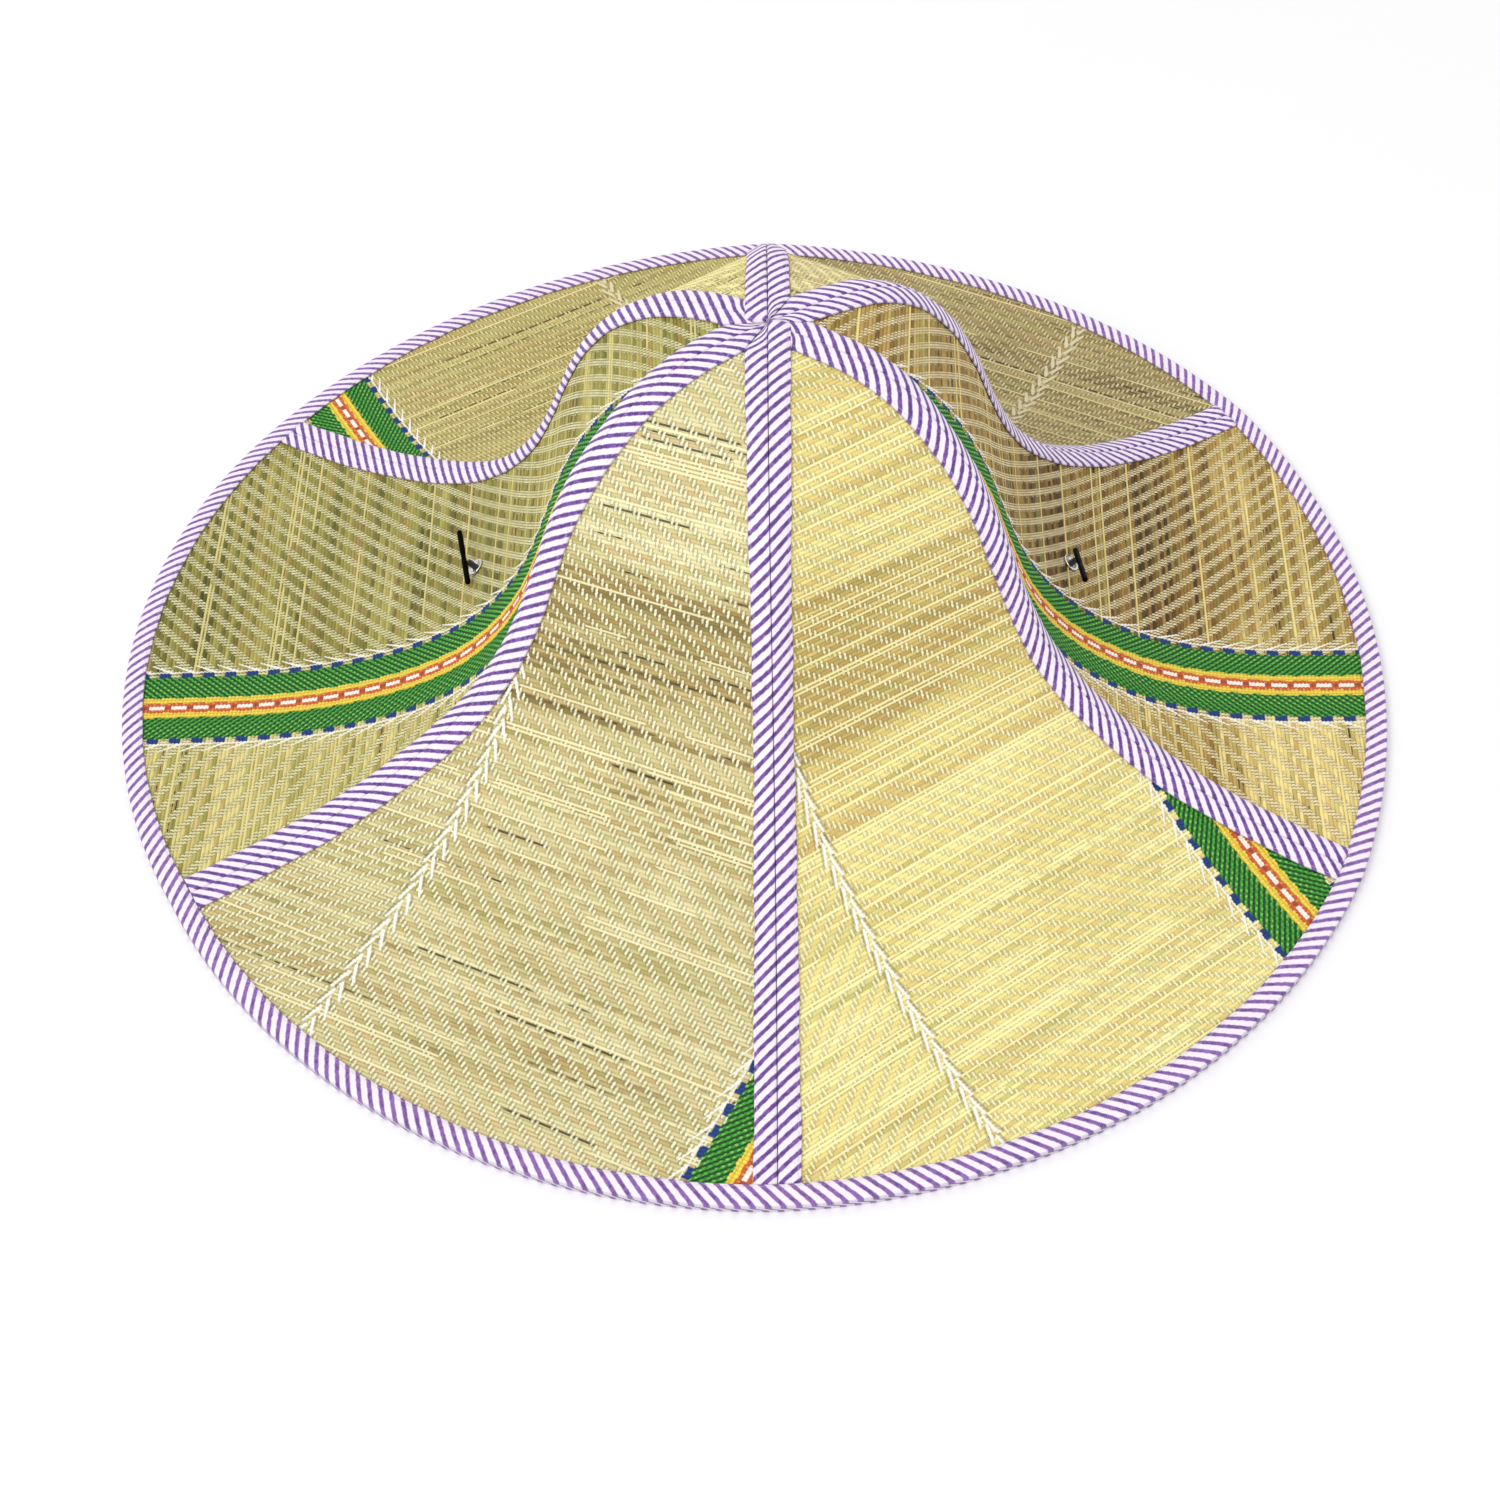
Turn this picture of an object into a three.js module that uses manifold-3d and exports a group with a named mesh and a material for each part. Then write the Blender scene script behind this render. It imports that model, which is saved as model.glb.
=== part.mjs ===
// A sun hat sewn from six woven grass mats, the kind that folds flat like a fan.
// Every mat has its two sides bound in a folded tape, and one more tape binds the brim.
// A black elastic chin cord ends in two toggles outside a small metal eyelet on each side.
import * as THREE from "three";
import { mergeVertices } from "three/addons/utils/BufferGeometryUtils.js";
import Module from "manifold-3d";

const wasm = await Module();
wasm.setup();

// Sizes in millimetres, angles in degrees. The hat stands on z = 0, its front towards -y.
const MAT = 1.5;
const TAPE = 1.0;
const GAP = 0.3;
const SEAM_TAPE_WIDTH = 6.2;
const BRIM_TAPE_WIDTH = 6.4;
const NOMINAL_REACH = 200;
const CROWN_AXIS = new THREE.Vector2(8.9, 1);

// Depths below the outer face of the hat, from the upper tape down to the tape's lower layer.
const MAT_TOP = TAPE + GAP;
const MAT_BOTTOM = MAT_TOP + MAT;
const UNDER_TAPE_TOP = MAT_BOTTOM + GAP;
const UNDERSIDE = UNDER_TAPE_TOP + TAPE;

// The outer face along a seam: its distance from the crown's axis and its height over the brim.
// The last row lies beyond the brim's edge, where the mats between the seams still reach.
const SEAM_PROFILE = [
  { out: 0, up: 118.5 },
  { out: 18, up: 118 },
  { out: 35, up: 114 },
  { out: 50, up: 105 },
  { out: 62, up: 92 },
  { out: 71, up: 76.5 },
  { out: 78, up: 61 },
  { out: 86.5, up: 45 },
  { out: 97.5, up: 31 },
  { out: 111, up: 19.5 },
  { out: 127, up: 11.5 },
  { out: 144, up: 6 },
  { out: 163, up: 2.2 },
  { out: 184, up: 0.3 },
  { out: 204, up: 0 },
  { out: 242, up: 0 },
];

// The six seams, turned about the crown's axis, how far each one reaches at the brim, and how
// much fuller than the profile it is round the shoulder, the side and the foot of the crown.
const SEAMS = [
  { name: "front", azimuth: -90.5, reach: 205.8, fullness: [0, 0, 0] },
  { name: "right_front", azimuth: -32, reach: 197.2, fullness: [3, 3.3, 2.2] },
  { name: "right_back", azimuth: 31, reach: 192.7, fullness: [2.8, 1.8, 1.2] },
  { name: "back", azimuth: 90, reach: 203.8, fullness: [3.2, 0, 0] },
  { name: "left_back", azimuth: 150, reach: 203.9, fullness: [0, 0, 0] },
  { name: "left_front", azimuth: 211.3, reach: 205.8, fullness: [0, 2.5, 0.9] },
];

// Where a seam's three fullnesses push it, how far along it they tell, and their way out and up.
const SWELLS = [
  { out: 45, span: 20, push: [0.52, 0.86] },
  { out: 75, span: 17, push: [0.91, 0.42] },
  { out: 110, span: 25, push: [0.6, 0.8] },
];

// The six mats, each from one seam to the next, with its outward bulge at the brim and its colour.
const GORES = [
  { name: "front_right", bulge: 0.3, color: "#d8c889" },
  { name: "right", bulge: -5.1, color: "#a98f58" },
  { name: "back_right", bulge: -3.2, color: "#b8a56a" },
  { name: "back_left", bulge: -2.6, color: "#cdbf86" },
  { name: "left", bulge: 2.7, color: "#a5a067" },
  { name: "front_left", bulge: 0.6, color: "#cbc08a" },
];

// The reach of the seams spreads from here outwards, so the crown stays even.
const SPREAD_FROM = 50;
// Rows of the profile at which the mats and tapes have their cross sections.
const ROW_STEP = 0.75;
const MAT_FIRST_ROW = 0.6;
const TAPE_FIRST_ROW = 0.14;
const LAST_COMMON_ROW = 13;
const COLUMNS = 8;

// Seen from above, the stems of a mat meet its seams at about this angle.
const STEM_TURN = Math.PI / 3;
// Rows between the two points that give the direction down a mat.
const SLOPE_STEP = 0.01;
// Shares across a mat between which a distance from its first or second seam is looked for.
const NEAR_SIDES = [
  [-0.3, 0.8],
  [0.2, 1.3],
];
const HALVINGS = 40;

const EYELET = { hole: 1.5, barrel: 2, flange: 3, thickness: 0.5, segments: 16, drill: 9 };
const EYELETS = [
  { name: "left", gore: "left", reach: 94.5, across: 0.432 },
  { name: "right", gore: "right", reach: 92.7, across: 0.524 },
];
const TOGGLE_RADIUS = 0.9;
const TOGGLE_SIDES = 12;
// The rounded end of a toggle in shares of its radius: away from its axis, and along it.
const TOGGLE_TIP = [
  [0, 0],
  [0.6, 0.15],
  [1, 0.8],
];
// The two toggle bars by their lower and upper ends, measured from the crown's axis and the floor.
const TOGGLES = [
  { name: "left", foot: [-95.9, -2.4, 25.9], head: [-99.9, 17.3, 30.3] },
  { name: "right", foot: [95.2, -12.8, 31.9], head: [94.7, 6.6, 26.5] },
];
const CORD_RADIUS = 1;
const CORD_SIDES = 8;
const CORD_STEPS = 80;

const profile = new THREE.SplineCurve(
  SEAM_PROFILE.map(({ out, up }) => new THREE.Vector2(out, up + UNDERSIDE)),
);
const LAST_ROW = SEAM_PROFILE.length - 1;

function bisect(low, high, isBelow) {
  for (let i = 0; i < HALVINGS; i += 1) {
    const middle = (low + high) / 2;
    if (isBelow(middle)) low = middle;
    else high = middle;
  }
  return (low + high) / 2;
}

// A point of a seam at a row of the profile, measured from the crown's axis.
function seamPoint(seam, row) {
  const { x: out, y: curved } = profile.getPoint(row / LAST_ROW);
  const swells = SWELLS.map((place, i) => {
    return seam.fullness[i] * Math.exp(-(((out - place.out) / place.span) ** 2));
  });
  const [outward, upward] = [0, 1].map((way) => {
    return swells.reduce((sum, swell, i) => sum + swell * SWELLS[i].push[way], 0);
  });
  const height = Math.max(curved, UNDERSIDE) + upward;
  const spread = THREE.MathUtils.smoothstep(out, SPREAD_FROM, NOMINAL_REACH);
  const radius = (out + outward) * (1 + (seam.reach / NOMINAL_REACH - 1) * spread);
  const turn = THREE.MathUtils.degToRad(seam.azimuth);
  return new THREE.Vector3(radius * Math.cos(turn), radius * Math.sin(turn), height);
}

// A mat's face is ruled: straight grass stems run level from one seam to the next.
class Gore {
  constructor({ name, bulge, color }, index) {
    this.name = name;
    this.bulge = bulge;
    this.color = color;
    this.seams = [SEAMS[index], SEAMS[(index + 1) % SEAMS.length]];
    const turns = this.seams.map((seam) => THREE.MathUtils.degToRad(seam.azimuth));
    if (turns[1] < turns[0]) turns[1] += 2 * Math.PI;
    this.turns = turns;
    this.inwards = [
      new THREE.Vector3(-Math.sin(turns[0]), Math.cos(turns[0]), 0),
      new THREE.Vector3(Math.sin(turns[1]), -Math.cos(turns[1]), 0),
    ];
  }

  // A point at a row and a share of the way across, some depth below the outer face.
  point(row, across, depth) {
    const [a, b] = this.seams.map((seam) => seamPoint(seam, row));
    const [a2, b2] = this.seams.map((seam) => seamPoint(seam, row + SLOPE_STEP));
    const here = a.clone().lerp(b, across);
    const along = a2.lerp(b2, across).sub(here);
    const normal = along.cross(b.sub(a)).normalize();
    return { position: here.addScaledVector(normal, -depth), normal };
  }

  // The share across at which a point lies a given distance from the upright plane of a seam.
  beside(side, distance, row, depth) {
    const away = (across) => this.point(row, across, depth).position.dot(this.inwards[side]);
    const isShort = (across) => away(across) < distance === (side === 0);
    return bisect(...NEAR_SIDES[side], isShort);
  }

  // A point some share of the way between two lines that keep a margin to both seams.
  between(row, share, depth, margin) {
    const first = this.beside(0, margin, row, depth);
    const last = this.beside(1, margin, row, depth);
    return this.point(row, THREE.MathUtils.lerp(first, last, share), depth);
  }

  // The distance of the brim's edge from the crown's axis in the direction of a point.
  edgeReach(position) {
    let turn = Math.atan2(position.y, position.x);
    while (turn < this.turns[0] - Math.PI / 2) turn += 2 * Math.PI;
    const w = (turn - this.turns[0]) / (this.turns[1] - this.turns[0]);
    const straight = THREE.MathUtils.lerp(this.seams[0].reach, this.seams[1].reach, w);
    return straight + this.bulge * 4 * w * (1 - w);
  }

  // The point that a rule for each row gives where it lies some inset from the brim's edge.
  atInset(inset, pointAt) {
    const row = bisect(LAST_COMMON_ROW - 3, LAST_ROW, (r) => {
      const { position } = pointAt(r);
      return Math.hypot(position.x, position.y) < this.edgeReach(position) - inset;
    });
    return pointAt(row).position;
  }

  // The true width across a tape is measured square to its seam, so it shrinks where that is steep.
  tapeReach(row) {
    const a = seamPoint(this.seams[0], row);
    const along = seamPoint(this.seams[0], row + SLOPE_STEP).sub(a);
    const slope = Math.atan2(-along.z, Math.hypot(along.x, along.y));
    const turn = Math.acos(Math.cos(slope) * Math.cos(STEM_TURN));
    const width = (SEAM_TAPE_WIDTH * Math.sin(STEM_TURN)) / Math.sin(turn);
    const middles = [0, UNDERSIDE].map((depth) => {
      return this.point(row, 0.5, depth).position.dot(this.inwards[0]);
    });
    return Math.min(width, ...middles.map((middle) => middle - GAP / 2));
  }
}

const gores = GORES.map((gore, index) => new Gore(gore, index));

function rowsFrom(first) {
  const rows = [];
  for (let row = LAST_COMMON_ROW; row > first + ROW_STEP / 2; row -= ROW_STEP) rows.unshift(row);
  return [first, ...rows];
}

function geometryOf(points, triangles) {
  const geometry = new THREE.BufferGeometry();
  const numbers = points.flatMap((point) => point.toArray());
  geometry.setAttribute("position", new THREE.Float32BufferAttribute(numbers, 3));
  geometry.setIndex(triangles);
  geometry.translate(CROWN_AXIS.x, CROWN_AXIS.y, 0);
  geometry.computeVertexNormals();
  return geometry;
}

const quad = (a, b, c, d) => [a, b, c, a, c, d];

// A wall between two grids of points, an upper and a lower one, closed round its rim.
function sheetGeometry(upper, lower) {
  const [rows, columns] = [upper.length, upper[0].length];
  const half = rows * columns;
  const top = (i, j) => i * columns + j;
  const low = (i, j) => half + i * columns + j;
  const triangles = [];
  for (let i = 0; i < rows - 1; i += 1) {
    for (let j = 0; j < columns - 1; j += 1) {
      triangles.push(...quad(top(i, j), top(i + 1, j), top(i + 1, j + 1), top(i, j + 1)));
      triangles.push(...quad(low(i, j), low(i, j + 1), low(i + 1, j + 1), low(i + 1, j)));
    }
    triangles.push(...quad(top(i, 0), low(i, 0), low(i + 1, 0), top(i + 1, 0)));
    const j = columns - 1;
    triangles.push(...quad(top(i, j), top(i + 1, j), low(i + 1, j), low(i, j)));
  }
  for (let j = 0; j < columns - 1; j += 1) {
    triangles.push(...quad(top(0, j), top(0, j + 1), low(0, j + 1), low(0, j)));
    const i = rows - 1;
    triangles.push(...quad(top(i, j), low(i, j), low(i, j + 1), top(i, j + 1)));
  }
  return geometryOf([...upper.flat(), ...lower.flat()], triangles);
}

// A tape folded round an edge: its section is a U of eight corners, the first on the outer face
// at the tape's free side, carried along a list of such sections and closed at both ends.
function foldedTapeGeometry(sections, reversed) {
  const corners = 8;
  const triangles = [];
  const at = (i, k) => i * corners + (k % corners);
  for (let i = 0; i < sections.length - 1; i += 1) {
    for (let k = 0; k < corners; k += 1) {
      triangles.push(...quad(at(i, k), at(i, k + 1), at(i + 1, k + 1), at(i + 1, k)));
    }
  }
  const last = sections.length - 1;
  for (const [a, b, c, d] of [[0, 1, 6, 7], [1, 2, 5, 6], [2, 3, 4, 5]]) {
    triangles.push(...quad(at(0, d), at(0, c), at(0, b), at(0, a)));
    triangles.push(...quad(at(last, a), at(last, b), at(last, c), at(last, d)));
  }
  if (reversed) triangles.reverse();
  return geometryOf(sections.flat(), triangles);
}

// The eight corners of the U, each as a distance from the folded edge and a depth.
const foldCorners = (width, wall) => [
  [width, 0],
  [0, 0],
  [0, UNDERSIDE],
  [width, UNDERSIDE],
  [width, UNDER_TAPE_TOP],
  [wall, UNDER_TAPE_TOP],
  [wall, TAPE],
  [width, TAPE],
];

// A cylinder or lathe built round z, stood on a spot of a mat along its normal.
function standOn(geometry, { position, normal }) {
  const turn = new THREE.Quaternion().setFromUnitVectors(new THREE.Vector3(0, 0, 1), normal);
  geometry.applyQuaternion(turn);
  geometry.translate(position.x + CROWN_AXIS.x, position.y + CROWN_AXIS.y, position.z);
  return geometry;
}

// The spot of an eyelet on its mat, seated flat between two rows of the mat's sections.
function eyeletSpot({ gore: goreName, reach, across }) {
  const gore = gores.find(({ name }) => name === goreName);
  const spots = rowsFrom(MAT_FIRST_ROW).map((row) => gore.point(row, across, MAT_TOP));
  const radii = spots.map(({ position }) => Math.hypot(position.x, position.y));
  const next = radii.findIndex((radius) => radius > reach);
  const [above, below] = [spots[next - 1], spots[next]];
  const share = (reach - radii[next - 1]) / (radii[next] - radii[next - 1]);
  return {
    position: above.position.clone().lerp(below.position, share),
    normal: above.normal.clone().add(below.normal).normalize(),
  };
}

function solidOf(geometry) {
  const bare = geometry.clone();
  bare.deleteAttribute("normal");
  bare.deleteAttribute("uv");
  const merged = mergeVertices(bare, 1e-4);
  const vertProperties = merged.attributes.position.array;
  const triVerts = Uint32Array.from(merged.index.array);
  return new wasm.Manifold(new wasm.Mesh({ numProp: 3, vertProperties, triVerts }));
}

function geometryFrom(solid) {
  const { vertProperties, triVerts } = solid.getMesh();
  const geometry = new THREE.BufferGeometry();
  geometry.setAttribute("position", new THREE.BufferAttribute(Float32Array.from(vertProperties), 3));
  geometry.setIndex(new THREE.BufferAttribute(Uint32Array.from(triVerts), 1));
  geometry.computeVertexNormals();
  return geometry;
}

function matGeometry(gore) {
  const margin = TAPE + GAP + GAP / 2;
  const grid = (depth) => {
    const lane = (share) => (row) => gore.between(row, share, depth, margin);
    const lanes = Array.from({ length: COLUMNS + 1 }, (_, j) => lane(j / COLUMNS));
    const rows = rowsFrom(MAT_FIRST_ROW).map((row) => lanes.map((at) => at(row).position));
    for (const inset of [BRIM_TAPE_WIDTH + GAP, TAPE + GAP]) {
      rows.push(lanes.map((at) => gore.atInset(inset, at)));
    }
    return rows;
  };
  const sheet = sheetGeometry(grid(MAT_TOP), grid(MAT_BOTTOM));
  const spots = EYELETS.filter((eyelet) => eyelet.gore === gore.name).map(eyeletSpot);
  return spots.reduce((geometry, spot) => {
    const radius = EYELET.barrel + GAP;
    const drill = new THREE.CylinderGeometry(radius, radius, EYELET.drill, EYELET.segments);
    const hole = drill.rotateX(Math.PI / 2);
    return geometryFrom(solidOf(geometry).subtract(solidOf(standOn(hole, spot))));
  }, sheet);
}

// The folded tape along one side of a mat, from the crown's tip to the brim's own tape.
function seamTapeGeometry(gore, side) {
  const section = (row) => {
    const width = gore.tapeReach(row);
    const wall = Math.min(TAPE, width / 2);
    return foldCorners(width, wall).map(([distance, depth]) => {
      const away = distance + (distance < width ? GAP / 2 : 0);
      return gore.point(row, gore.beside(side, away, row, depth), depth).position;
    });
  };
  const sections = rowsFrom(TAPE_FIRST_ROW).map(section);
  const lastWidth = gore.tapeReach(LAST_COMMON_ROW);
  sections.push(
    foldCorners(lastWidth, TAPE).map(([distance, depth]) => {
      const away = distance + (distance < lastWidth ? GAP / 2 : 0);
      const pointAt = (row) => gore.point(row, gore.beside(side, away, row, depth), depth);
      return gore.atInset(BRIM_TAPE_WIDTH + 2 * GAP, pointAt);
    }),
  );
  return foldedTapeGeometry(sections, side === 1);
}

// The folded tape along the brim of one mat.
function brimTapeGeometry(gore) {
  const sections = Array.from({ length: COLUMNS + 1 }, (_, j) =>
    foldCorners(BRIM_TAPE_WIDTH, TAPE).map(([inset, depth]) =>
      gore.atInset(inset, (row) => gore.between(row, j / COLUMNS, depth, GAP / 2)),
    ),
  );
  return foldedTapeGeometry(sections, false);
}

// A pair of flanges joined by a barrel through the mat, its closed outline turned round z.
function eyeletGeometry(eyelet) {
  const { hole, barrel, flange, thickness, segments } = EYELET;
  const [top, bottom] = [GAP, -MAT - GAP];
  const outline = [
    [hole, top + thickness],
    [hole, bottom - thickness],
    [flange - thickness / 2, bottom - thickness],
    [flange, bottom - thickness / 2],
    [flange, bottom],
    [barrel, bottom],
    [barrel, top],
    [flange, top],
    [flange, top + thickness / 2],
    [flange - thickness / 2, top + thickness],
    [hole, top + thickness],
  ].map(([x, y]) => new THREE.Vector2(x, y));
  const lathe = new THREE.LatheGeometry(outline, segments).rotateX(Math.PI / 2);
  return standOn(lathe, eyeletSpot(eyelet));
}

// A slim bar with rounded ends between two points.
function toggleGeometry({ foot, head }) {
  const [start, end] = [new THREE.Vector3(...foot), new THREE.Vector3(...head)];
  const length = start.distanceTo(end);
  const tip = TOGGLE_TIP.map(([x, y]) => new THREE.Vector2(x, y).multiplyScalar(TOGGLE_RADIUS));
  const farTip = tip.map(({ x, y }) => new THREE.Vector2(x, length - y)).reverse();
  const bar = new THREE.LatheGeometry([...tip, ...farTip], TOGGLE_SIDES).rotateX(Math.PI / 2);
  return standOn(bar, { position: start, normal: end.sub(start).normalize() });
}

// The route of the chin cord's middle, from the crown's axis and the floor: out of the left
// toggle, in through its eyelet, down to the floor, round under the back brim and up again.
const CORD_ROUTE = [
  [-96.5, 6.3, 27.2],
  [-94.8, 6.3, 25.1],
  [-90.5, 6.4, 19.6],
  [-86.1, 6.7, 14.1],
  [-81.2, 8.6, 7.4],
  [-77.2, 13.6, 2.4],
  [-75, 23, 1.1],
  [-78, 42, 1.1],
  [-86, 64, 1.1],
  [-90, 86, 1.1],
  [-82, 109, 1.1],
  [-62, 129, 1.1],
  [-34, 141, 1.1],
  [0, 145, 1.1],
  [34, 140, 1.1],
  [62, 127, 1.1],
  [82, 107, 1.1],
  [90, 84, 1.1],
  [87, 62, 1.1],
  [79, 40, 1.1],
  [75, 20, 1.1],
  [76.7, 10, 2.4],
  [80.2, 3.9, 8.2],
  [84.2, 1.7, 15],
  [88.7, 1.5, 20.4],
  [93.3, 1.5, 25.7],
  [94.2, 1.5, 26.8],
];

function cordGeometry() {
  const route = CORD_ROUTE.map(([x, y, z]) => {
    return new THREE.Vector3(x + CROWN_AXIS.x, y + CROWN_AXIS.y, z);
  });
  const corners = Array.from({ length: CORD_SIDES }, (_, k) => {
    const turn = (k * 2 * Math.PI) / CORD_SIDES;
    return new THREE.Vector2(CORD_RADIUS * Math.cos(turn), CORD_RADIUS * Math.sin(turn));
  });
  return new THREE.ExtrudeGeometry(new THREE.Shape(corners), {
    extrudePath: new THREE.CatmullRomCurve3(route),
    steps: CORD_STEPS,
    bevelEnabled: false,
  });
}

const tapeCloth = { color: "#c9b6e2", roughness: 0.9, metalness: 0 };
const eyeletSteel = { color: "#c8c8cc", roughness: 0.3, metalness: 1 };
const toggleBlack = { color: "#0c0c0d", roughness: 0.45, metalness: 0 };
const cordBlack = { color: "#141416", roughness: 0.85, metalness: 0 };

const hat = new THREE.Group();
hat.name = "straw_hat";

function add(name, geometry, finish) {
  const mesh = new THREE.Mesh(geometry, new THREE.MeshStandardMaterial(finish));
  mesh.name = name;
  hat.add(mesh);
}

for (const gore of gores) {
  add(`mat_${gore.name}`, matGeometry(gore), { color: gore.color, roughness: 0.8, metalness: 0 });
  gore.seams.forEach((seam, side) => {
    add(`seam_tape_${seam.name}_of_${gore.name}`, seamTapeGeometry(gore, side), tapeCloth);
  });
  add(`brim_tape_${gore.name}`, brimTapeGeometry(gore), tapeCloth);
}
for (const eyelet of EYELETS) add(`eyelet_${eyelet.name}`, eyeletGeometry(eyelet), eyeletSteel);
for (const toggle of TOGGLES) add(`toggle_${toggle.name}`, toggleGeometry(toggle), toggleBlack);
add("chin_cord", cordGeometry(), cordBlack);

export default hat;
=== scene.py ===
"""Looks of a sun hat sewn from six woven grass mats, bound in striped tape, over its CAD frame."""

import bpy
import numpy as np
from mathutils import Matrix, Vector


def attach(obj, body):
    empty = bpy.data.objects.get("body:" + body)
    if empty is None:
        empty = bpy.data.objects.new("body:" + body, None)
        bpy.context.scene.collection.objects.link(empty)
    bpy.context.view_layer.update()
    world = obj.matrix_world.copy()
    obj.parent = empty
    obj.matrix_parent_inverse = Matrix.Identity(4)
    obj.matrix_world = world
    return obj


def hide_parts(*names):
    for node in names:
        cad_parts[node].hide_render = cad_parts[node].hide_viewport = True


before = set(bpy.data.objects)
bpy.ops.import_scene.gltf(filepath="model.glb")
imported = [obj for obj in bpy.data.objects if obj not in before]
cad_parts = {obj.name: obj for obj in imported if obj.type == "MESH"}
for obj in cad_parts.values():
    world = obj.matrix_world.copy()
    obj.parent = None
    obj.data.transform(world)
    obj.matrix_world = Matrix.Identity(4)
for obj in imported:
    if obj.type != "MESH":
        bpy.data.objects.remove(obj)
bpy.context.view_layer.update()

# Shapes are worked out in millimetres from the crown's axis and the floor, as in the CAD source.
MM = 0.001
CROWN_AXIS = np.array([8.9, 1.0, 0.0])
SEAM_TAPE_WIDTH = 6.2
BRIM_TAPE_WIDTH = 6.4
UNDERSIDE = 4.1
SPREAD_FROM = 50
NOMINAL_REACH = 200
SLOPE_STEP = 0.01

# The outer face along a seam: its distance from the crown's axis and its height over the brim.
SEAM_PROFILE = np.array(
    [
        (0, 118.5),
        (18, 118),
        (35, 114),
        (50, 105),
        (62, 92),
        (71, 76.5),
        (78, 61),
        (86.5, 45),
        (97.5, 31),
        (111, 19.5),
        (127, 11.5),
        (144, 6),
        (163, 2.2),
        (184, 0.3),
        (204, 0),
        (242, 0),
    ]
)
# Each seam's direction in degrees, its reach at the brim and its fullness at the three swells.
SEAMS = [
    ("front", -90.5, 205.8, (0, 0, 0)),
    ("right_front", -32, 197.2, (3, 3.3, 2.2)),
    ("right_back", 31, 192.7, (2.8, 1.8, 1.2)),
    ("back", 90, 203.8, (3.2, 0, 0)),
    ("left_back", 150, 203.9, (0, 0, 0)),
    ("left_front", 211.3, 205.8, (0, 2.5, 0.9)),
]
# Where a seam can be fuller than its profile: the distance from the axis, the length over which
# the fullness fades, and the direction of the push, outward and upward.
SWELLS = [(45, 20, (0.52, 0.86)), (75, 17, (0.91, 0.42)), (110, 25, (0.6, 0.8))]
# Each mat with its outward bulge at the brim and the angle at which its stems run to its seams.
GORES = [
    ("front_right", 0.3, -3.5),
    ("right", -5.1, 5),
    ("back_right", -3.2, -4),
    ("back_left", -2.6, -2),
    ("left", 2.7, -2),
    ("front_left", 0.6, -4.8),
]

# The weave: grass stems lie side by side, and thin threads cross over two or three and under as
# many.
STEM_PITCH = 1.17
THREAD_PITCH = 1.45
MAT_CREST = 1.12
MAT_UNDERSIDE = 2.8
MAT_START = 8.0
# Places round one stem, from groove to groove, and how deep its surface lies there.
STEM_ROUND = [(0, 0.38), (0.2, 0.1), (0.5, 0), (0.8, 0.1)]
MAT_COLUMNS = 44
MAT_UNEVENNESS = 0.12
# A mat's outline is looked for from this far left of its middle to as far right, at this many places.
PROBE_REACH = 135
PROBES = 361
HIDDEN_UNDER_TAPE = 3.2

# A folded tape's section: the distance from its fold and the depth, once round its outline.
FOLDED_TAPE = [
    (1.0, 0.95),
    (1.0, 0.62),
    (0.975, 0.4),
    (0.88, 0.2),
    (0.74, 0.09),
    (0.5, 0.0),
    (0.26, 0.02),
    (0.12, 0.14),
    (0.034, 0.42),
    (0.014, 0.95),
    (0.012, 1.7),
    (0.012, 2.5),
    (0.014, 3.15),
    (0.034, 3.68),
    (0.12, 3.96),
    (0.26, 4.08),
    (0.5, 4.1),
    (0.74, 4.02),
    (0.88, 3.92),
    (0.975, 3.72),
    (1.0, 3.5),
    (1.0, 3.15),
    (0.19, 3.12),
    (0.17, 2.9),
    (0.17, 1.2),
    (0.19, 0.98),
]
# The corner of the section that lies on the fold, by its number, the distance between sections
# down a seam, and the gap that a seam's tape leaves at the brim's tape.
FOLD_CORNER = 10
TAPE_STEP = 1.3
TAPE_GAP = 0.06

# The two tapes that stay wide at the tip and lie over the others there.
TAPES_ON_TOP = ("seam_tape_front_of_front_right", "seam_tape_back_of_back_left")

# The chin cord's route, the same points as in the CAD source.
CORD_RADIUS = 1.0
CORD_ROUTE = np.array(
    [
        (-96.5, 6.3, 27.2),
        (-94.8, 6.3, 25.1),
        (-90.5, 6.4, 19.6),
        (-86.1, 6.7, 14.1),
        (-81.2, 8.6, 7.4),
        (-77.2, 13.6, 2.4),
        (-75, 23, 1.1),
        (-78, 42, 1.1),
        (-86, 64, 1.1),
        (-90, 86, 1.1),
        (-82, 109, 1.1),
        (-62, 129, 1.1),
        (-34, 141, 1.1),
        (0, 145, 1.1),
        (34, 140, 1.1),
        (62, 127, 1.1),
        (82, 107, 1.1),
        (90, 84, 1.1),
        (87, 62, 1.1),
        (79, 40, 1.1),
        (75, 20, 1.1),
        (76.7, 10, 2.4),
        (80.2, 3.9, 8.2),
        (84.2, 1.7, 15),
        (88.7, 1.5, 20.4),
        (93.3, 1.5, 25.7),
        (94.2, 1.5, 26.8),
    ]
)

# Each eyelet by the middle of its upper flange and the direction that it faces.
EYELETS = {
    "left": ((-94.78, 6.34, 25.12), (-0.620, 0.002, 0.785)),
    "right": ((93.21, 1.54, 25.87), (0.654, 0.007, 0.757)),
}
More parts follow.
